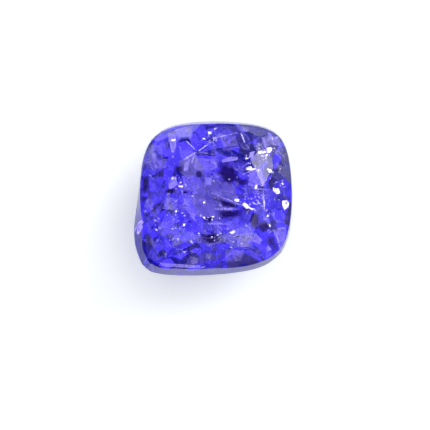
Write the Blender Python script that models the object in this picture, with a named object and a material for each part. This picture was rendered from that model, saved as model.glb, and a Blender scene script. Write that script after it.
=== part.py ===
"""Cushion-cut tanzanite: one polished crystal, cut facet by facet from a cushion-shaped blank.

The stone stands on its culet with its table up. X runs across the stone, Y from the front side (-Y)
to the back side (+Y), and the origin is at the bottom centre. Lengths are in metres.
"""

import math
import random

import bmesh
import bpy
from mathutils import Vector

MM = 0.001

# The outline of the crown's edge, seen from above
CROWN_WIDTH = 7.58 * MM
CROWN_LENGTH = 7.22 * MM
SIDE_BULGE = 0.12  # how far the left and right sides bow out at their middles, as a share
END_BULGE = 0.11  # the same for the front and back sides
FRONT_REACH = 1.035  # the front side stands out further than the back one by this factor
FRONT_SLANT = 0.065  # and runs out of square by this share
CORNER_FULLNESS = {"back right": 7.0, "back left": 5.7, "front left": 14.0, "front right": 6.0}
OUTLINE_POINTS = 120

# The thick belt (girdle), ground at a slant, so that it is widest at its lower edge. It spreads most
# at the front left corner.
BELT_HEIGHT = 0.62 * MM
BELT_FLARE_SIDES = 0.04 * MM
BELT_FLARE_ENDS = 0.2 * MM
CORNER_FLARE = 0.42 * MM
CORNER_FLARE_AZIMUTH = math.radians(208)
CORNER_FLARE_NARROWNESS = 13.0

# Heights above the culet's flat
BELT_BOTTOM = 3.04 * MM
BELT_TOP = BELT_BOTTOM + BELT_HEIGHT
TABLE_HEIGHT = 4.79 * MM
STAR_FOOT = BELT_TOP + 0.6 * (TABLE_HEIGHT - BELT_TOP)

# Each tier of facets: how many, where the first one stands (in facet widths from +X), the two
# levels that its facets pass through, as (share of the outline's reach there, height), and how far
# the hand-held lap strays from them, in degrees round the stone and as a share of the reach
CROWN_TIERS = {
    "upper girdle": (16, 0.5, (0.985, BELT_TOP), (0.69, TABLE_HEIGHT), (4.0, 0.006)),
    "main": (8, 0.0, (1.0, BELT_TOP), (0.60, TABLE_HEIGHT), (4.0, 0.012)),
    "star": (8, 0.5, (0.824, STAR_FOOT), (0.535, TABLE_HEIGHT), (5.0, 0.012)),
}
PAVILION_TIERS = {
    "belly": (20, 0.5, (0.99, BELT_BOTTOM), (0.86, 2.14 * MM), (6.0, 0.008)),
    "upper step": (16, 0.0, (0.89, 2.24 * MM), (0.60, 1.16 * MM), (10.0, 0.05)),
    "lower step": (14, 0.5, (0.66, 1.39 * MM), (0.35, 0.29 * MM), (10.0, 0.05)),
    "keel": (9, 0.0, (0.42, 0.52 * MM), (0.277, 0.0), (10.0, 0.0425)),
}
CUTTING_SEED = 41

# The blank's walls stand straight for this much above the belt, for the crown's facets to cut into
SPARE_ABOVE_BELT = 0.12 * MM

# Points nearer to each other than this are one point
SNAP = 0.002 * MM

IOR = 1.695
POLISH_ROUGHNESS = 0.03
BODY_COLOUR = (0.16, 0.13, 0.85, 1.0)


def corner_fullness(angle):
    """The exponent of the outline's quarter that this direction falls in."""
    side = "right" if math.cos(angle) >= 0 else "left"
    end = "back" if math.sin(angle) >= 0 else "front"
    return CORNER_FULLNESS[end + " " + side]


def outline_point(angle, half_width, half_length):
    """A point of the cushion outline: a rounded square whose four sides bow outwards."""
    across, along = math.cos(angle), math.sin(angle)
    fullness = corner_fullness(angle)
    reach = (abs(across) ** fullness + abs(along) ** fullness) ** (-1.0 / fullness)
    x, y = reach * across, reach * along
    bowed_x = x * (1.0 - SIDE_BULGE * y * y)
    bowed_y = y * (1.0 - END_BULGE * x * x)
    if bowed_y < 0.0:
        bowed_y *= FRONT_REACH - FRONT_SLANT * x
    return Vector((bowed_x * half_width, bowed_y * half_length))


def belt_outline(height):
    """The outline at a height on the belt, which narrows evenly towards the crown."""
    below_edge = (BELT_TOP - height) / BELT_HEIGHT
    half_width = CROWN_WIDTH / 2 + BELT_FLARE_SIDES * below_edge
    half_length = CROWN_LENGTH / 2 + BELT_FLARE_ENDS * below_edge
    to_corner = Vector((math.cos(CORNER_FLARE_AZIMUTH), math.sin(CORNER_FLARE_AZIMUTH)))
    outline = []
    for i in range(OUTLINE_POINTS):
        angle = 2 * math.pi * i / OUTLINE_POINTS
        nearness = max(0.0, math.cos(angle - CORNER_FLARE_AZIMUTH)) ** CORNER_FLARE_NARROWNESS
        spread = to_corner * CORNER_FLARE * nearness * below_edge
        outline.append(outline_point(angle, half_width, half_length) + spread)
    return outline


def reach_of(outline, azimuth):
    """How far the outline reaches from the centre in a direction."""
    direction = Vector((math.cos(azimuth), math.sin(azimuth)))
    return max(direction.dot(point) for point in outline)


def cushion_blank():
    """The sawn blank: the belt's two outlines, carried straight up to the table and down to the culet."""
    shape = bmesh.new()
    spare_top = BELT_TOP + SPARE_ABOVE_BELT
    levels = [
        (0.0, BELT_BOTTOM),
        (BELT_BOTTOM, BELT_BOTTOM),
        (spare_top, spare_top),
        (TABLE_HEIGHT, spare_top),
    ]
    rings = []
    for height, outline_height in levels:
        outline = belt_outline(outline_height)
        rings.append([shape.verts.new((point.x, point.y, height)) for point in outline])
    for lower, upper in zip(rings, rings[1:]):
        for i in range(OUTLINE_POINTS):
            after = (i + 1) % OUTLINE_POINTS
            shape.faces.new((lower[i], lower[after], upper[after], upper[i]))
    shape.faces.new(list(reversed(rings[0])))
    shape.faces.new(rings[-1])
    return shape


def grind(shape, point, normal):
    """Grind one flat facet: take off all that lies beyond the plane and close the cut."""
    everything = shape.verts[:] + shape.edges[:] + shape.faces[:]
    cut = bmesh.ops.bisect_plane(
        shape, geom=everything, dist=SNAP, plane_co=point, plane_no=normal, clear_outer=True
    )
    rim = [item for item in cut["geom_cut"] if isinstance(item, bmesh.types.BMEdge)]
    if len(rim) > 2:
        bmesh.ops.edgeloop_fill(shape, edges=rim)


def grind_tier(shape, lap, edge, tier):
    """Grind one tier: its facets stand round the stone, each passing through the tier's two levels."""
    count, start, outer, inner, (azimuth_error, reach_error) = tier
    for i in range(count):
        azimuth = 2 * math.pi * (i + start) / count
        azimuth += math.radians(lap.uniform(-azimuth_error, azimuth_error))
        direction = Vector((math.cos(azimuth), math.sin(azimuth), 0.0))
        reach = reach_of(edge, azimuth)
        slip = lap.uniform(-reach_error, reach_error)
        outer_point = direction * reach * (outer[0] + slip) + Vector((0.0, 0.0, outer[1]))
        inner_point = direction * reach * (inner[0] + slip) + Vector((0.0, 0.0, inner[1]))
        along_edge = Vector((-direction.y, direction.x, 0.0))
        normal = along_edge.cross(inner_point - outer_point).normalized()
        if normal.dot(direction) < 0.0:
            normal.negate()
        grind(shape, outer_point, normal)


def violet_crystal():
    """Polished, see-through tanzanite."""
    material = bpy.data.materials.new("tanzanite")
    material.use_nodes = True
    shader = material.node_tree.nodes["Principled BSDF"]
    shader.inputs["Base Color"].default_value = BODY_COLOUR
    shader.inputs["Roughness"].default_value = POLISH_ROUGHNESS
    shader.inputs["Metallic"].default_value = 0.0
    shader.inputs["IOR"].default_value = IOR
    shader.inputs["Transmission Weight"].default_value = 1.0
    return material


def centre_over_origin(shape):
    """Move the stone sideways, so that the middle of its width and length is over the origin."""
    across = [corner.co.x for corner in shape.verts]
    along = [corner.co.y for corner in shape.verts]
    middle = Vector(((min(across) + max(across)) / 2, (min(along) + max(along)) / 2, 0.0))
    bmesh.ops.translate(shape, verts=shape.verts[:], vec=-middle)


def cut_tanzanite():
    """Grind the blank's pavilion, then its crown, and keep what is left."""
    lap = random.Random(CUTTING_SEED)
    shape = cushion_blank()
    for tier in PAVILION_TIERS.values():
        grind_tier(shape, lap, belt_outline(BELT_BOTTOM), tier)
    for tier in CROWN_TIERS.values():
        grind_tier(shape, lap, belt_outline(BELT_TOP), tier)
    bmesh.ops.remove_doubles(shape, verts=shape.verts[:], dist=SNAP)
    bmesh.ops.dissolve_degenerate(shape, edges=shape.edges[:], dist=SNAP)
    bmesh.ops.recalc_face_normals(shape, faces=shape.faces[:])
    centre_over_origin(shape)
    mesh = bpy.data.meshes.new("tanzanite")
    shape.to_mesh(mesh)
    shape.free()
    mesh.materials.append(violet_crystal())
    stone = bpy.data.objects.new("tanzanite", mesh)
    bpy.context.scene.collection.objects.link(stone)
    return stone


for old in list(bpy.data.objects):
    bpy.data.objects.remove(old)

cut_tanzanite()
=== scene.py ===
"""The looks of a loose cushion-cut tanzanite, table up on a white surface under soft studio light."""

import math
import random

import bmesh
import bpy
from mathutils import Matrix, Vector, noise
from mathutils.bvhtree import BVHTree


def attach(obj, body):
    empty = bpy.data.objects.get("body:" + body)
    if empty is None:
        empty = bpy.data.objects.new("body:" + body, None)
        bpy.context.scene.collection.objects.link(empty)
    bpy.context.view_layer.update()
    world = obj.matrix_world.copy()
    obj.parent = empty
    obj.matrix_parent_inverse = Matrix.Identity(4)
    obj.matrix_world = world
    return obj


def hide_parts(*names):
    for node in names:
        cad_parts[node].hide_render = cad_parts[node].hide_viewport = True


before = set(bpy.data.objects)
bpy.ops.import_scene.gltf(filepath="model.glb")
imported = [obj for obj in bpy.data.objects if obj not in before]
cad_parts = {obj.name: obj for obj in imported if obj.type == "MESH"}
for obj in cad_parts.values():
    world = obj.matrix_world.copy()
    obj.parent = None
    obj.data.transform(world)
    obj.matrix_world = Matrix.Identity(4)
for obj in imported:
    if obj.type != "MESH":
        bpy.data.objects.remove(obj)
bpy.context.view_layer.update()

MM = 0.001

# The camera stands 250 mm away and looks down at the table, 8 degrees off plumb from the front side.
# It is set square to the stone, which stands a little above the middle of the picture.
CAMERA_DISTANCE = 250 * MM
CAMERA_HEIGHT_ANGLE = math.radians(82)
PICTURE_WIDTH = 21.5 * MM
SENSOR_WIDTH = 36.0
AIM = Vector((0.087, -0.82, 2.84)) * MM

RIGHT = Vector((1.0, 0.0, 0.0))
UP = Vector((0.0, math.sin(CAMERA_HEIGHT_ANGLE), math.cos(CAMERA_HEIGHT_ANGLE)))
TO_CAMERA = RIGHT.cross(UP)

lens = bpy.data.cameras.new("camera")
lens.lens = SENSOR_WIDTH * CAMERA_DISTANCE / PICTURE_WIDTH
lens.sensor_width = SENSOR_WIDTH
lens.clip_start = 1 * MM
camera = bpy.data.objects.new("camera", lens)
camera.location = AIM + TO_CAMERA * CAMERA_DISTANCE
camera.rotation_euler = (math.pi / 2 - CAMERA_HEIGHT_ANGLE, 0.0, 0.0)
bpy.context.scene.collection.objects.link(camera)
bpy.context.scene.camera = camera


# The stone: one crystal of violet-blue zoisite, sawn, then ground facet by facet on a lap and
# polished. Its belt is only finely ground. The real facets' edges are a little worn, but here they
# stay sharp: EDGE_WEAR is not used, and the worn_edge mask stays at zero.
EDGE_WEAR = 0.008 * MM
POINTS_APART = 0.004 * MM
FLAT_WITHIN = math.radians(0.3)
REFRACTION = 1.695
ABSORBED_TO = (0.26, 0.12, 0.95, 1.0)
ABSORPTION = 330.0


class Wired:
    """An output socket in a material. Arithmetic on it adds Math nodes."""

    def __init__(self, tree, socket):
        self.tree = tree
        self.socket = socket

    def math(self, operation, *values):
        node = self.tree.nodes.new("ShaderNodeMath")
        node.operation = operation
        for place, value in zip(node.inputs, values):
            if isinstance(value, Wired):
                self.tree.links.new(value.socket, place)
            else:
                place.default_value = value
        return Wired(self.tree, node.outputs[0])

    def __add__(self, other):
        return self.math("ADD", self, other)

    def __radd__(self, other):
        return self.math("ADD", other, self)

    def __sub__(self, other):
        return self.math("SUBTRACT", self, other)

    def __rsub__(self, other):
        return self.math("SUBTRACT", other, self)

    def __mul__(self, other):
        return self.math("MULTIPLY", self, other)

    def __rmul__(self, other):
        return self.math("MULTIPLY", other, self)

    def __truediv__(self, other):
        return self.math("DIVIDE", self, other)

    def __pow__(self, other):
        return self.math("POWER", self, other)


class Finish:
    """A node-based material, built around one Principled shader."""

    def __init__(self, name, **plain):
        self.material = bpy.data.materials.new(name)
        self.material.use_nodes = True
        self.tree = self.material.node_tree
        self.shader = self.tree.nodes["Principled BSDF"]
        self.output = self.tree.nodes["Material Output"]
        for socket, value in plain.items():
            self.shader.inputs[socket.replace("_", " ")].default_value = value

    def add(self, kind, output=0, settings=None, inputs=None):
        """Add a node, with its settings and what its inputs hold, and return one of its outputs."""
        node = self.tree.nodes.new(kind)
        for name, value in (settings or {}).items():
            if name == "stops":
                self.set_stops(node.color_ramp, value)
            else:
                setattr(node, name, value)
        for name, value in (inputs or {}).items():
            self.feed(node.inputs[name], value)
        return Wired(self.tree, node.outputs[output])

    def set_stops(self, ramp, stops):
        while len(ramp.elements) > 1:
            ramp.elements.remove(ramp.elements[-1])
        for i, (place, colour) in enumerate(stops):
            element = ramp.elements[0] if i == 0 else ramp.elements.new(place)
            element.position = place
            element.color = colour

    def feed(self, socket, value):
        if isinstance(value, Wired):
            self.tree.links.new(value.socket, socket)
        else:
            socket.default_value = value

    def drive(self, name, value):
        self.feed(self.shader.inputs[name], value)

    def ramp(self, value, low, high):
        """Zero below the low value, one above the high one, and smooth between."""
        settings = {"interpolation_type": "SMOOTHSTEP"}
        limits = {"From Min": low, "From Max": high}
        return self.add("ShaderNodeMapRange", 0, settings, {"Value": value, **limits})

    def noise(self, scale, detail=2.0, vector=None, **inputs):
        place = vector or self.add("ShaderNodeTexCoord", "Object")
        sizes = {"Vector": place, "Scale": scale, "Detail": detail, **inputs}
        return self.add("ShaderNodeTexNoise", "Fac", None, sizes)


def polished_crystal():
    """See-through and violet-blue all through, with a lap's faint polish and a finely ground belt."""
    finish = Finish("polished_tanzanite", Transmission_Weight=1.0, IOR=REFRACTION)
    belt = finish.add("ShaderNodeAttribute", "Fac", {"attribute_name": "ground_belt"})
    worn = finish.add("ShaderNodeAttribute", "Fac", {"attribute_name": "worn_edge"})
    smears = finish.noise(900.0, 3.0)
    finish.drive("Roughness", 0.008 + 0.02 * smears + 0.08 * belt * smears + 0.16 * worn)
    grinding = finish.noise(9000.0, 2.0)
    swell = finish.noise(520.0, 2.0)
    height = swell + 0.05 * grinding * belt
    finish.drive(
        "Normal",
        finish.add(
            "ShaderNodeBump",
            "Normal",
            None,
            {"Height": height, "Strength": 1.0, "Distance": 0.035 * MM},
        ),
    )
    finish.drive("Base Color", (1.0, 1.0, 1.0, 1.0))
    absorption = finish.add(
        "ShaderNodeVolumeAbsorption", 0, None, {"Color": ABSORBED_TO, "Density": ABSORPTION}
    )
    finish.feed(finish.output.inputs["Volume"], absorption)
    return finish.material


def merged_copy(node):
    """The CAD node's shape with its loose triangles joined into whole facets."""
    shape = bmesh.new()
    shape.from_mesh(node.data)
    bmesh.ops.remove_doubles(shape, verts=shape.verts[:], dist=POINTS_APART)
    bmesh.ops.dissolve_degenerate(shape, edges=shape.edges[:], dist=POINTS_APART)
    bmesh.ops.dissolve_limit(
        shape, angle_limit=FLAT_WITHIN, verts=shape.verts[:], edges=shape.edges[:]
    )
    return shape


def finished(name, shape, material, smooth=False):
    """Make a piece of a bmesh, with the given material: it rides on the stone's body."""
    mesh = bpy.data.meshes.new(name)
    shape.normal_update()
    shape.to_mesh(mesh)
    shape.free()
    mesh.materials.append(material)
    if smooth:
        mesh.shade_smooth()
    piece = bpy.data.objects.new(name, mesh)
    bpy.context.scene.collection.objects.link(piece)
    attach(piece, "root")
    return piece


BELT_HEIGHTS = (3.04 * MM, 3.66 * MM)
BELT_LEAST_STEEPNESS = 0.52


def is_ground(facet):
    """Whether a facet is part of the belt."""
    height = facet.calc_center_median().z
    return abs(facet.normal.z) < BELT_LEAST_STEEPNESS and BELT_HEIGHTS[0] < height < BELT_HEIGHTS[1]


stone_shape = merged_copy(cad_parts["tanzanite"])
surface = BVHTree.FromBMesh(stone_shape)
belt_mask = stone_shape.faces.layers.float.new("ground_belt")
worn_mask = stone_shape.faces.layers.float.new("worn_edge")
for facet in stone_shape.faces:
    facet[belt_mask] = float(is_ground(facet))
crystal = finished("crystal", stone_shape, polished_crystal())
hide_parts("tanzanite")


# The belt's skin: the lap leaves it finely ground, not polished, so that its outermost hundredth of a
# millimetre scatters light and looks frosted.
SKIN_DEPTH = 0.012 * MM
SKIN_THICKNESS = 0.004 * MM
skin = merged_copy(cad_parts["tanzanite"])
polished = [facet for facet in skin.faces if not is_ground(facet)]
bmesh.ops.delete(skin, geom=polished, context="FACES")
skin.normal_update()
for corner in skin.verts:
    corner.co -= corner.normal * SKIN_DEPTH
bmesh.ops.solidify(skin, geom=skin.faces[:], thickness=SKIN_THICKNESS)
skin_finish = Finish("ground_skin", Roughness=0.6, Specular_IOR_Level=0.0)
grain = skin_finish.noise(9000.0, 3.0)
patches = skin_finish.noise(600.0, 3.0)
skin_finish.drive("Base Color", (0.52, 0.50, 1.0, 1.0))
skin_finish.drive("Alpha", 0.25 + 0.3 * patches + 0.2 * grain)
finished("belt_skin", skin, skin_finish.material)


# Where what is inside the stone lies, as a gem laboratory plots it: how far across and along the
# stone's face, in mm from its middle, and how deep below the facet that it is seen through.
PLOT_MIDDLE = Vector((0.162, 0.08, 3.66)) * MM
LEAST_DEPTH = 0.04 * MM
LAMP_DIRECTION = Vector((0.7, 0.5, 0.5)).normalized()
DIM_DIRECTION = Vector((0.36, 0.26, 0.9)).normalized()


def bent_in(direction, normal):
    """The direction in which light that meets a facet goes on inside the stone."""
    slowing = 1.0 / REFRACTION
    square_on = -direction.dot(normal)
    inside = math.sqrt(1.0 - slowing**2 * (1.0 - square_on**2))
    return (slowing * direction + (slowing * square_on - inside) * normal).normalized()


def sight_line(across, along):
    """Where the line of sight at a place of the plot enters the stone, its direction inside, and
    the facet's normal there. A place beyond the outline is drawn in until it is on the stone."""
    entry = None
    while entry is None:
        place = PLOT_MIDDLE + (RIGHT * across + UP * along) * MM
        sight = (place - camera.location).normalized()
        entry, normal, _, _ = surface.ray_cast(camera.location, sight)
        across, along = across * 0.98, along * 0.98
    return entry, bent_in(sight, normal), normal


def glint_plane(across, along, depth, lamp=LAMP_DIRECTION):
    """A point inside the stone, and how a plane through it faces to throw the lamp's light back."""
    entry, bent, normal = sight_line(across, along)
    from_lamp = bent_in(-lamp, normal)
    return entry + bent * depth * MM, -(bent + from_lamp).normalized()


def on_plane(across, along, point, facing):
    """Where the line of sight at a place of the plot meets a plane inside the stone."""
    entry, bent, _ = sight_line(across, along)
    depth = (point - entry).dot(facing) / bent.dot(facing)
    return entry + bent * max(depth, LEAST_DEPTH)


# Flakes: specks of flat, mirror-bright cleavage and trapped films, each a few hundredths to half a
# millimetre across. They lie a little below the crown, and those that face the lamp shine white.
FILM_THICKNESS = 0.01 * MM
FLAKE_DEPTH = 0.22
FLAKE_SIDES = 9
CHIPS_PER_MM = 14
# Each one's place across and along, its length and width in mm, and how far it is turned in degrees
FLAKES = [
    (1.68, 1.30, 0.52, 0.24, 0),
    (2.72, 1.18, 0.44, 0.15, -27),
    (2.62, 2.25, 0.32, 0.30, 20),
    (2.25, 2.13, 0.46, 0.17, 8),
    (2.50, 1.98, 0.18, 0.12, 40),
    (1.48, 1.82, 0.17, 0.13, 0),
    (1.98, 0.42, 0.26, 0.14, 90),
    (3.00, 0.20, 0.42, 0.32, -35),
    (3.42, -0.50, 0.66, 0.42, 88),
    (2.38, -0.40, 0.38, 0.10, 92),
    (3.30, 0.55, 0.16, 0.11, -60),
    (2.80, 2.82, 0.20, 0.07, 95),
    (-0.33, 3.07, 0.26, 0.14, -25),
    (-0.05, 3.30, 0.17, 0.10, 20),
    (-0.62, 2.80, 0.14, 0.08, -20),
    (-2.15, 2.72, 0.22, 0.16, 15),
    (-3.30, 0.97, 0.13, 0.10, 0),
    (-2.20, 0.82, 0.13, 0.10, 0),
    (-1.80, 0.62, 0.11, 0.10, 0),
    (-1.77, 0.42, 0.30, 0.13, 0),
    (-3.55, -0.83, 0.14, 0.12, 0),
    (-3.07, -1.28, 0.24, 0.12, -40),
    (-3.00, -1.73, 0.18, 0.10, -15),
    (-3.68, -1.40, 0.09, 0.08, 0),
    (-2.02, -0.83, 0.17, 0.10, 75),
    (-1.62, -1.50, 0.14, 0.12, 30),
    (-2.20, -1.70, 0.16, 0.09, 0),
    (-1.92, -2.20, 0.14, 0.13, 0),
    (-1.25, -2.35, 0.32, 0.12, -38),
    (-1.60, -2.85, 0.12, 0.11, 0),
    (-0.88, -1.93, 0.09, 0.08, 0),
    (-0.60, -1.15, 0.22, 0.08, -50),
    (-0.18, -1.10, 0.11, 0.09, 0),
    (-0.22, -1.25, 0.08, 0.07, 0),
    (-0.62, -0.38, 0.15, 0.12, 40),
    (0.05, -2.00, 0.10, 0.08, -40),
    (-0.23, -2.10, 0.09, 0.07, 0),
    (0.40, -2.15, 0.08, 0.07, 0),
    (0.78, -1.86, 0.28, 0.16, 10),
    (0.72, -2.62, 0.16, 0.06, 0),
    (2.65, -1.53, 0.16, 0.10, 90),
    (-0.70, -3.62, 0.20, 0.06, -10),
    (1.02, -0.27, 0.26, 0.19, -20),
    (1.48, -0.55, 0.50, 0.22, -28),
    (1.80, -0.70, 0.34, 0.10, -12),
    (2.10, 1.22, 0.12, 0.10, 0),
    (0.62, 0.78, 0.09, 0.08, 0),
    (2.55, -1.05, 0.16, 0.10, 60),
]
# Patches strewn with specks: the middle, the half-sizes and how many
SPECKLED = [
    ((-2.2, -1.7), (1.4, 1.3), 110),
    ((1.9, -0.3), (1.0, 0.5), 60),
    ((-0.3, 2.9), (0.7, 0.4), 24),
    ((2.4, 2.3), (0.5, 0.5), 34),
    ((0.3, -2.1), (1.1, 0.6), 44),
    ((-2.2, 0.5), (1.1, 0.8), 24),
    ((0.0, 0.2), (2.2, 1.6), 46),
]


def film(name, colour, smooth, rough, cover=1.0):
    """A thin reflecting film, as rough as its ripples say; how dense it is is left to the piece that
    uses it. The cover argument is not used."""
    finish = Finish(name, Metallic=1.0)
    finish.drive("Base Color", colour)
    finish.drive("Roughness", smooth + (rough - smooth) * finish.noise(7000.0, 2.0))
    return finish


def add_flake(shape, across, along, length, width, turn, depth, sway, rng):
    """Add one thin, uneven-sided flake, with its outline on the plane that faces the lamp."""
    point, facing = glint_plane(across, along, depth)
    facing = (facing + sway).normalized()
    turned = Matrix.Rotation(math.radians(turn), 2)
    made = bmesh.ops.create_circle(shape, cap_ends=True, segments=FLAKE_SIDES, radius=1.0)
    for corner in made["verts"]:
        offset = Vector((corner.co.x * length / 2, corner.co.y * width / 2)) * rng.uniform(0.5, 1.2)
        offset = turned @ offset
        corner.co = on_plane(across + offset.x, along + offset.y, point, facing)
    face = made["verts"][0].link_faces[0]
    grown = bmesh.ops.extrude_face_region(shape, geom=[face])
    raised = [item for item in grown["geom"] if isinstance(item, bmesh.types.BMVert)]
    bmesh.ops.translate(shape, verts=raised, vec=facing * FILM_THICKNESS)


rng = random.Random(11)
flakes = bmesh.new()
for across, along, length, width, turn in FLAKES:
    sway = Vector((rng.uniform(-0.03, 0.03), rng.uniform(-0.03, 0.03), 0.0))
    add_flake(flakes, across, along, length, width, turn, FLAKE_DEPTH, sway, rng)
    for _ in range(int(length * CHIPS_PER_MM)):
        around = rng.uniform(0, 2 * math.pi)
        away = length * rng.uniform(0.5, 1.1)
        aside = (across + away * math.cos(around), along + away * math.sin(around))
        sway = Vector((rng.uniform(-0.15, 0.15), rng.uniform(-0.15, 0.15), 0.0))
        add_flake(flakes, *aside, 0.07, 0.035, rng.uniform(0, 180), FLAKE_DEPTH, sway, rng)
for middle, (half_across, half_along), count in SPECKLED:
    for _ in range(count):
        across = middle[0] + half_across * max(-1.1, min(1.1, rng.gauss(0.0, 0.5)))
        along = middle[1] + half_along * max(-1.1, min(1.1, rng.gauss(0.0, 0.5)))
        size = 0.03 + 0.05 * rng.random() ** 2
        sway = Vector((rng.uniform(-0.2, 0.2), rng.uniform(-0.2, 0.2), 0.0))
        add_flake(flakes, across, along, size * 1.4, size, rng.uniform(0, 180), rng.uniform(0.1, 0.7), sway, rng)
bmesh.ops.recalc_face_normals(flakes, faces=flakes.faces[:])
flake_finish = film("cleavage_film", (0.86, 0.84, 1.0, 1.0), 0.12, 0.40)
crackle = flake_finish.noise(5200.0, 3.0)
flake_finish.drive("Alpha", 0.25 + 0.75 * flake_finish.ramp(crackle, 0.38, 0.6))
finished("cleavage_flakes", flakes, flake_finish.material)


# Planes: flat cleavages inside the crystal, each a very thin film with straight edges. They face the
# dim part of the studio, so that each is a pale ghost over the blue behind it.
# Each one's outline on the plot, its depth in mm and its cover
GHOST_PLANES = [
    ([(-2.10, 3.22), (-1.60, 3.38), (-1.22, 3.42), (-1.26, 2.82), (-1.92, 2.80)], 0.35, 0.50),
    ([(-2.44, 3.08), (-2.18, 3.20), (-1.98, 3.10), (-2.02, 2.40), (-2.10, 2.08), (-2.24, 2.15)], 0.25, 0.60),
    ([(-3.22, 2.50), (-2.97, 1.86), (-2.93, 1.45), (-3.08, 1.20), (-3.46, 1.42)], 0.30, 0.40),
    ([(-2.98, 1.76), (-2.50, 1.78), (-2.50, 1.36), (-3.22, 1.24)], 0.45, 0.30),
    ([(-2.46, 0.86), (-2.00, 0.92), (-1.94, 0.52), (-2.10, 0.38), (-2.36, 0.28)], 0.30, 0.50),
    ([(1.66, 2.12), (1.92, 2.18), (1.82, 1.86), (1.62, 1.84)], 0.30, 0.70),
    ([(2.25, 2.86), (2.80, 2.95), (3.34, 2.90), (3.18, 2.42), (2.72, 2.50), (2.42, 2.36)], 0.30, 0.45),
    ([(-1.04, 1.86), (-0.02, 1.76), (0.05, 1.42), (-0.20, 1.22), (-1.12, 1.26)], 0.60, 0.28),
    ([(-1.62, 1.56), (-1.30, 1.78), (-1.44, 1.22), (-1.62, 1.18)], 0.40, 0.50),
    ([(1.66, 1.26), (2.22, 1.28), (2.30, 0.90), (2.22, 0.50), (1.58, 0.46)], 0.50, 0.35),
    ([(0.28, 1.74), (0.70, 1.90), (1.08, 1.88), (1.04, 1.74), (0.30, 1.62)], 0.40, 0.50),
    ([(2.80, -1.74), (3.48, -1.64), (3.40, -2.30), (3.20, -2.78)], 0.40, 0.40),
    ([(1.94, -1.88), (2.28, -2.28), (2.12, -2.46), (1.74, -2.30)], 0.50, 0.40),
    ([(-2.92, -3.36), (-0.80, -3.52), (-0.82, -3.66), (-2.62, -3.58)], 0.25, 0.50),
    ([(1.10, -1.96), (1.80, -1.86), (1.94, -2.20), (1.72, -2.62), (1.00, -2.56)], 0.60, 0.28),
    ([(-1.70, 0.95), (-0.90, 1.05), (-0.85, 0.35), (-1.25, 0.15), (-1.60, 0.30)], 0.70, 0.26),
    ([(0.10, 3.05), (0.95, 2.95), (1.10, 2.45), (0.35, 2.40)], 0.50, 0.22),
    ([(-2.70, -0.10), (-1.90, -0.20), (-2.00, -0.75), (-2.80, -0.70)], 0.50, 0.30),
    ([(0.40, -2.70), (1.40, -2.75), (1.20, -3.30), (0.50, -3.35)], 0.40, 0.26),
    ([(-3.50, -0.20), (-3.10, -0.25), (-3.15, -0.75), (-3.60, -0.60)], 0.35, 0.30),
]


def add_plane(shape, outline, depth, cover, lamp=DIM_DIRECTION):
    """Add one flat plane with the given outline on the plot."""
    middle = sum((Vector(corner) for corner in outline), Vector((0.0, 0.0))) / len(outline)
    point, facing = glint_plane(middle.x, middle.y, depth, lamp)
    cover_mask = shape.verts.layers.float["cover"]
    corners = [shape.verts.new(on_plane(*corner, point, facing)) for corner in outline]
    for corner in corners:
        corner[cover_mask] = cover
    face = bmesh.ops.contextual_create(shape, geom=corners)["faces"][0]
    grown = bmesh.ops.extrude_face_region(shape, geom=[face])
    raised = [item for item in grown["geom"] if isinstance(item, bmesh.types.BMVert)]
    bmesh.ops.translate(shape, verts=raised, vec=facing * FILM_THICKNESS)


def sheets_shape(add_one, sheets):
    """All of one kind of plane or sheet, joined."""
    shape = bmesh.new()
    shape.verts.layers.float.new("cover")
    shape.loops.layers.uv.new("UVMap")
    for sheet in sheets:
        add_one(shape, *sheet)
    bmesh.ops.recalc_face_normals(shape, faces=shape.faces[:])
    return shape


ghost_finish = film("ghost_plane", (0.50, 0.44, 1.0, 1.0), 0.12, 0.4)
cover = ghost_finish.add("ShaderNodeAttribute", "Fac", {"attribute_name": "cover"})
mottle = ghost_finish.noise(1800.0, 4.0)
ghost_finish.drive("Alpha", cover * (0.1 + mottle))
finished("ghost_planes", sheets_shape(add_plane, GHOST_PLANES), ghost_finish.material)


# Sheets: gently waved films that follow healed cracks. Each has its own cover, from a faint ghost to
# a dense patch, and fades towards an uneven edge.
SHEET_CELLS = (12, 9)


def add_sheet(shape, corners, depth, cover, waves=0.0, bow=0.0, lamp=LAMP_DIRECTION):
    """Add one sheet, with four corners on the plot, in order, and sides that bow out."""
    first, second, third, fourth = (Vector(corner) for corner in corners)
    middle = (first + second + third + fourth) / 4
    point, facing = glint_plane(middle.x, middle.y, depth, lamp)
    cover_mask = shape.verts.layers.float["cover"]
    made = bmesh.ops.create_grid(
        shape, x_segments=SHEET_CELLS[0], y_segments=SHEET_CELLS[1], size=1.0, calc_uvs=True
    )
    for corner in made["verts"]:
        u, v = corner.co.x, corner.co.y
        low = first.lerp(second, (u + 1) / 2)
        high = fourth.lerp(third, (u + 1) / 2)
        place = low.lerp(high, (v + 1) / 2)
        place += (place - middle) * bow * ((1 - u * u) * v * v + (1 - v * v) * u * u)
        corner.co = on_plane(place.x, place.y, point, facing)
        ripple = noise.noise(Vector((place.x * 2.2, place.y * 2.2, depth * 31.0)))
        corner.co += facing * ripple * waves * MM
        corner[cover_mask] = cover
    faces = {face for corner in made["verts"] for face in corner.link_faces}
    grown = bmesh.ops.extrude_face_region(shape, geom=list(faces))
    raised = [item for item in grown["geom"] if isinstance(item, bmesh.types.BMVert)]
    bmesh.ops.translate(shape, verts=raised, vec=facing * FILM_THICKNESS)


def inward_of_edge(finish):
    """Zero on a sheet's edge and one at its middle."""
    uv = finish.add("ShaderNodeTexCoord", "UV")
    u = finish.add("ShaderNodeSeparateXYZ", "X", None, {0: uv})
    v = finish.add("ShaderNodeSeparateXYZ", "Y", None, {0: uv})
    return 16.0 * (u - u * u) * (v - v * v)


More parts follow.
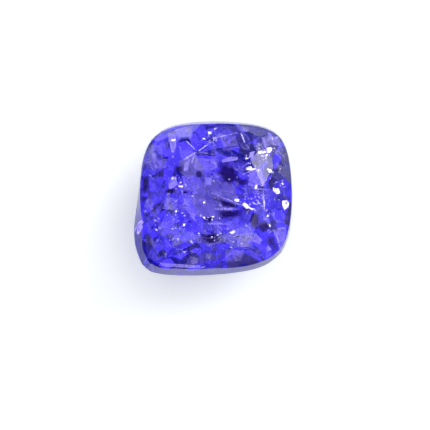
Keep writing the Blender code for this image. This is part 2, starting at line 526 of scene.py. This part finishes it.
# A mosaic of tilted blocks: the crystal grew as blocks a little out of line with each other, and
# their borders and faces show as a patchwork of fainter and stronger blue.
MOSAICS = [
    (((-3.5, 3.2), (-0.2, 3.5), (0.0, 0.2), (-3.6, 0.0)), 0.75, 1.0, 0.2, 0.1, DIM_DIRECTION),
    (((-0.2, 3.5), (3.4, 3.0), (3.6, 0.0), (0.0, 0.2)), 0.85, 1.0, 0.2, 0.1, DIM_DIRECTION),
    (((-3.6, 0.2), (0.2, 0.3), (0.2, -3.4), (-3.4, -3.3)), 0.80, 1.0, 0.2, 0.1, DIM_DIRECTION),
    (((0.0, 0.3), (3.6, 0.2), (3.2, -3.0), (0.0, -3.4)), 0.90, 1.0, 0.2, 0.1, DIM_DIRECTION),
]
mosaic_finish = film("growth_mosaic", (0.42, 0.38, 1.0, 1.0), 0.15, 0.4)
place = mosaic_finish.add("ShaderNodeTexCoord", "Object")
wander = mosaic_finish.add("ShaderNodeTexNoise", "Color", None, {"Vector": place, "Scale": 900.0})
wandering = mosaic_finish.add(
    "ShaderNodeMix", "Result", {"data_type": "VECTOR"}, {"Factor": 0.0006, 4: place, 5: wander}
)
blocks = mosaic_finish.add(
    "ShaderNodeTexVoronoi", "Color", {"distance": "MANHATTAN"}, {"Vector": wandering, "Scale": 1500.0}
)
block_tone = mosaic_finish.add("ShaderNodeSeparateXYZ", "X", None, {0: blocks})
borders = mosaic_finish.add(
    "ShaderNodeTexVoronoi", "Distance", {"feature": "DISTANCE_TO_EDGE"}, {"Vector": wandering, "Scale": 1500.0}
)
line = 1.0 - mosaic_finish.ramp(borders, 0.0, 0.05)
edge = mosaic_finish.ramp(inward_of_edge(mosaic_finish), 0.0, 0.1)
mosaic_finish.drive("Alpha", edge * (0.30 * block_tone ** 2.0 + 0.15 * line))
finished("growth_mosaic", sheets_shape(add_sheet, MOSAICS), mosaic_finish.material)


# Dark patches: sheets of painted shade, dark violet and near-black, which swallow the light where the stone's
# cut shows extinction; partly also plates of graphite.
SHADE_AND_GRAPHITE_PLATES = [
    (((0.08, 1.70), (1.05, 1.75), (1.15, 0.55), (0.15, 0.45)), 0.70, 0.85, 0.0, 0.15),
    (((3.17, 2.25), (3.62, 2.30), (3.70, 1.65), (3.25, 1.65)), 0.35, 0.95, 0.0, 0.1),
    (((0.20, -0.30), (0.85, -0.35), (1.00, -0.68), (0.22, -0.62)), 0.60, 0.85),
    (((0.18, -0.75), (1.30, -0.75), (1.10, -1.10), (0.28, -1.15)), 0.60, 0.85, 0.0, 0.2),
    (((1.72, -0.85), (2.15, -0.95), (2.02, -1.75), (1.72, -1.72)), 0.60, 0.90, 0.0, 0.1),
    (((2.12, -1.35), (2.62, -1.30), (2.60, -1.75), (2.10, -1.80)), 0.50, 0.95, 0.0, 0.15),
    (((-3.72, 1.00), (-3.32, 1.00), (-3.32, 0.00), (-3.75, 0.05)), 0.40, 0.80),
    (((-2.92, 1.25), (-2.60, 1.25), (-2.60, 0.82), (-2.92, 0.85)), 0.50, 0.85),
    (((-2.57, 0.32), (-1.97, 0.28), (-2.00, 0.05), (-2.57, 0.05)), 0.50, 0.95),
    (((-1.72, 0.18), (-1.42, 0.20), (-1.42, 0.05), (-1.72, 0.05)), 0.50, 0.85),
    (((-3.25, -0.58), (-3.00, -0.58), (-3.00, -0.98), (-3.25, -0.98)), 0.50, 0.85, 0.0, 0.2),
    (((-2.12, 1.45), (-1.62, 1.50), (-1.62, 1.12), (-2.12, 1.10)), 0.60, 0.60),
    (((-1.02, 1.20), (-0.70, 1.20), (-0.72, 0.85), (-1.00, 0.85)), 0.60, 0.60, 0.0, 0.2),
    (((-0.87, -1.90), (0.75, -1.85), (0.65, -2.40), (-0.85, -2.42)), 0.70, 0.65),
    (((-0.80, -2.25), (0.70, -2.20), (0.62, -2.40), (-0.80, -2.40)), 0.60, 0.75),
    (((-0.70, -1.10), (-0.05, -1.10), (-0.05, -1.38), (-0.70, -1.38)), 0.60, 0.80, 0.0, 0.2),
    (((-2.42, 3.20), (-2.12, 3.18), (-2.14, 3.08), (-2.42, 3.10)), 0.20, 0.95),
    (((2.45, -2.05), (2.82, -1.85), (3.12, -2.75), (2.67, -2.90)), 0.60, 0.60),
    (((0.75, -1.98), (1.10, -2.02), (1.10, -2.14), (0.78, -2.12)), 0.40, 0.85),
    (((-0.35, 0.02), (1.10, -0.55), (1.00, -0.72), (-0.35, -0.25)), 0.65, 0.70),
    (((1.05, 0.80), (1.60, 0.80), (1.60, 0.45), (1.05, 0.45)), 0.65, 0.65),
    (((-3.62, -1.85), (-3.25, -1.85), (-3.20, -2.75), (-3.50, -2.75)), 0.45, 0.60),
]
shade_and_graphite = sheets_shape(add_sheet, SHADE_AND_GRAPHITE_PLATES)
shade_and_graphite_finish = Finish("painted_shade_and_graphite", Roughness=0.5, Specular_IOR_Level=0.0)
cover = shade_and_graphite_finish.add("ShaderNodeAttribute", "Fac", {"attribute_name": "cover"})
mottle = shade_and_graphite_finish.noise(1500.0, 4.0)
ragged = shade_and_graphite_finish.noise(2600.0, 4.0)
edge = shade_and_graphite_finish.ramp(inward_of_edge(shade_and_graphite_finish) + 1.8 * (ragged - 0.5), 0.0, 1.0)
shade_and_graphite_finish.drive("Alpha", cover * edge * (0.6 + 0.8 * mottle))
# The painted shade's two colours, near-black violet and deep blue, mixed by the mottle.
shade_and_graphite_finish.drive(
    "Base Color",
    shade_and_graphite_finish.add(
        "ShaderNodeMix",
        "Result",
        {"data_type": "RGBA"},
        {"Factor": mottle, "A": (0.06, 0.02, 0.16, 1.0), "B": (0.05, 0.015, 0.5, 1.0)},
    ),
)
finished("painted_shade_and_graphite_plates", shade_and_graphite, shade_and_graphite_finish.material)


# Healed fractures: waved veils of minute droplets, pale and broken, where the crystal cracked while
# it grew and closed again.
VEILS = [
    (((-3.6, -0.6), (-0.9, -0.5), (-0.8, -2.6), (-3.2, -2.6)), 0.50, 0.75, 0.25, 0.1),
    (((-2.9, -1.6), (0.2, -1.4), (0.4, -3.2), (-2.4, -3.3)), 0.80, 0.60, 0.30, 0.1),
    (((0.9, 0.1), (2.8, 0.2), (2.7, -0.75), (1.0, -0.60)), 0.40, 0.95, 0.12, 0.1),
    (((-0.9, 3.4), (0.5, 3.3), (0.3, 2.4), (-0.9, 2.5)), 0.40, 0.75, 0.15, 0.1),
    (((2.0, 2.9), (3.0, 2.6), (2.9, 1.8), (1.9, 1.9)), 0.35, 0.60, 0.12, 0.1),
    (((-2.6, 1.2), (0.9, 1.4), (1.2, -0.6), (-2.4, -0.6)), 0.90, 0.45, 0.30, 0.1),
    (((0.8, -1.3), (2.0, -1.2), (1.9, -2.3), (0.8, -2.4)), 0.60, 0.60, 0.15, 0.1),
    (((1.4, 1.9), (3.3, 1.9), (3.4, 0.0), (1.5, 0.1)), 0.70, 0.30, 0.2, 0.1),
    (((-1.6, -3.0), (2.6, -2.7), (2.4, -3.2), (-1.5, -3.4)), 0.50, 0.45, 0.12, 0.1),
    (((-1.2, -0.8), (-0.8, -0.9), (-0.9, -1.3), (-1.5, -1.3)), 0.30, 0.9, 0.1, 0.2),
]
veils = sheets_shape(add_sheet, VEILS)
veil_finish = film("healed_veil", (0.72, 0.68, 1.0, 1.0), 0.2, 0.5)
cover = veil_finish.add("ShaderNodeAttribute", "Fac", {"attribute_name": "cover"})
clouds = veil_finish.ramp(veil_finish.noise(1100.0, 5.0, Distortion=0.8), 0.48, 0.66)
droplets = veil_finish.add(
    "ShaderNodeTexVoronoi", "Distance", None,
    {"Vector": veil_finish.add("ShaderNodeTexCoord", "Object"), "Scale": 9000.0},
)
drops = 1.0 - veil_finish.ramp(droplets, 0.2, 0.45)
edge = veil_finish.ramp(inward_of_edge(veil_finish), 0.0, 0.35)
veil_finish.drive("Alpha", cover * edge * clouds * (0.25 + 0.75 * drops))
finished("healed_veils", veils, veil_finish.material)


# Seams: the narrow bright edges of inner cracks and growth planes, which run straight for a
# millimetre or two as fine pale lines.
SEAM_CELLS = 8
# Where each starts and ends, its width in mm and its cover
SEAMS = [
    ((-1.58, 2.75), (-0.95, 2.15), 0.06, 0.6),
    ((-0.95, 2.15), (-0.20, 2.68), 0.06, 0.7),
    ((-0.20, 2.68), (0.10, 2.90), 0.05, 0.6),
    ((-0.33, 2.80), (1.18, 3.12), 0.05, 0.6),
    ((-0.95, 2.15), (-1.68, 1.75), 0.06, 0.7),
    ((-1.05, 2.05), (-1.28, 1.50), 0.06, 0.5),
    ((-0.95, 2.15), (-0.08, 2.00), 0.05, 0.4),
    ((1.20, 3.12), (1.43, 2.55), 0.06, 0.95),
    ((1.43, 2.55), (1.65, 2.25), 0.05, 0.4),
    ((2.92, -1.72), (3.20, -2.78), 0.04, 0.5),
    ((2.92, -1.72), (3.50, -1.62), 0.04, 0.4),
    ((2.92, -1.72), (2.43, -2.00), 0.04, 0.4),
    ((-0.27, -0.70), (1.22, -0.72), 0.04, 0.5),
    ((-0.48, 0.20), (1.82, -0.76), 0.04, 0.5),
    ((-0.82, -1.45), (0.78, -1.45), 0.05, 0.4),
    ((1.60, 0.30), (2.70, 0.28), 0.05, 0.6),
    ((1.22, 0.98), (1.88, 1.24), 0.05, 0.5),
    ((-0.58, -2.50), (-0.05, -2.50), 0.05, 0.6),
    ((0.78, -2.12), (1.12, -1.98), 0.04, 0.6),
    ((2.32, 0.10), (2.40, -0.85), 0.04, 0.7),
    ((1.35, -1.40), (1.55, -1.60), 0.05, 0.6),
    ((1.62, -1.55), (1.72, -1.85), 0.04, 0.5),
]


def seam_corners(start, end, width):
    """The four corners of a narrow strip."""
    run = (Vector(end) - Vector(start)).normalized()
    aside = Vector((-run.y, run.x)) * width / 2
    return tuple(
        tuple(corner)
        for corner in (Vector(start) - aside, Vector(end) - aside, Vector(end) + aside, Vector(start) + aside)
    )


seam_strips = [(seam_corners(start, end, width), 0.3, cover) for start, end, width, cover in SEAMS]
seams = sheets_shape(add_sheet, seam_strips)
seam_finish = film("seam_film", (0.66, 0.64, 1.0, 1.0), 0.15, 0.4)
cover = seam_finish.add("ShaderNodeAttribute", "Fac", {"attribute_name": "cover"})
breaks = seam_finish.noise(2500.0, 3.0)
edge = seam_finish.ramp(inward_of_edge(seam_finish), 0.0, 0.6)
seam_finish.drive("Alpha", 0.5 * cover * edge * seam_finish.ramp(breaks, 0.3, 0.5))
finished("growth_seams", seams, seam_finish.material)


# The surface under the stone is a large sheet of white card, and a wide, even light stands round it.
# A bright ring of light at half height, stronger at the back right, shows in the facets.
CARD_SIZE = 2.0
card_shape = bmesh.new()
bmesh.ops.create_grid(card_shape, x_segments=1, y_segments=1, size=CARD_SIZE / 2)
card_mesh = bpy.data.meshes.new("card")
card_shape.to_mesh(card_mesh)
card_shape.free()
card = bpy.data.objects.new("card", card_mesh)
card.location = (0.0, 0.0, -0.01 * MM)
bpy.context.scene.collection.objects.link(card)
CARD_GLOW = 0.3
card_finish = Finish("white_card", Roughness=0.9, Emission_Strength=CARD_GLOW)
card_finish.drive("Emission Color", (1.0, 1.0, 1.0, 1.0))
fibres = card_finish.noise(2000.0, 3.0)
card_finish.drive("Base Color", (0.90, 0.97, 0.90, 1.0))
card_finish.drive("Roughness", 0.85 + 0.1 * fibres)
card_mesh.materials.append(card_finish.material)

world = bpy.data.worlds.new("studio")
world.use_nodes = True
bpy.context.scene.world = world


def grey(value):
    return (value, value, value, 1.0)


class Sky(Finish):
    """The studio's light, by direction."""

    def __init__(self, studio):
        self.tree = studio.node_tree
        self.background = self.tree.nodes["Background"]
        self.output = self.tree.nodes["World Output"]


def lobe(towards, full_to, fades_at):
    """One around a direction, zero away from it, and a soft edge between, in degrees."""
    nearness = sky.add(
        "ShaderNodeVectorMath", "Value", {"operation": "DOT_PRODUCT"}, {0: direction, 1: towards}
    )
    return sky.ramp(nearness, math.cos(math.radians(fades_at)), math.cos(math.radians(full_to)))


sky = Sky(world)
# The light by the height that it comes from, from level to straight above
SKY_STOPS = [(0.0, 0.12), (0.55, 0.12), (0.72, 0.12), (0.80, 0.7), (0.86, 1.0), (1.0, 1.0)]
SKY_TINT = (0.95, 0.92, 1.0)
SKY_STRENGTH = 1.8
SIDE_DIRECTION = (0.5, 0.3, 0.0)
LENS_DIRECTION = Vector((0.0, 0.14, 0.99)).normalized()
LENS_FULL_TO = 6
LENS_FADES_AT = 9
LENS_DARKENS = 0.97
LAMP_FULL_TO = 10
LAMP_FADES_AT = 24
LAMP_STRENGTH = 36.0
direction = sky.add("ShaderNodeTexCoord", "Generated")
height = sky.add("ShaderNodeSeparateXYZ", "Z", None, {0: direction})
stops = [(place, tuple(value * tint for tint in SKY_TINT) + (1.0,)) for place, value in SKY_STOPS]
dome = sky.add("ShaderNodeValToRGB", "Color", {"stops": stops}, {"Fac": height})
side = sky.add(
    "ShaderNodeVectorMath", "Value", {"operation": "DOT_PRODUCT"}, {0: direction, 1: SIDE_DIRECTION}
)
lens_hole = 1.0 - LENS_DARKENS * lobe(LENS_DIRECTION, LENS_FULL_TO, LENS_FADES_AT)
lamp = lobe(LAMP_DIRECTION, LAMP_FULL_TO, LAMP_FADES_AT)
strength = SKY_STRENGTH * (1.0 + side) * lens_hole + LAMP_STRENGTH * lamp
sky.feed(sky.background.inputs["Color"], dome)
sky.feed(sky.background.inputs["Strength"], strength)
backdrop = sky.add("ShaderNodeBackground", 0, None, {"Color": grey(1.0), "Strength": 1.0})
seen = sky.add("ShaderNodeLightPath", "Is Camera Ray")
mixed = sky.add(
    "ShaderNodeMixShader", 0, None, {0: seen, 1: Wired(world.node_tree, sky.background.outputs[0]), 2: backdrop}
)
sky.feed(sky.output.inputs["Surface"], mixed)

bpy.context.scene.view_settings.view_transform = "Standard"
cycles = bpy.context.scene.cycles
cycles.max_bounces = 48
cycles.transmission_bounces = 48
cycles.glossy_bounces = 48
cycles.transparent_max_bounces = 48
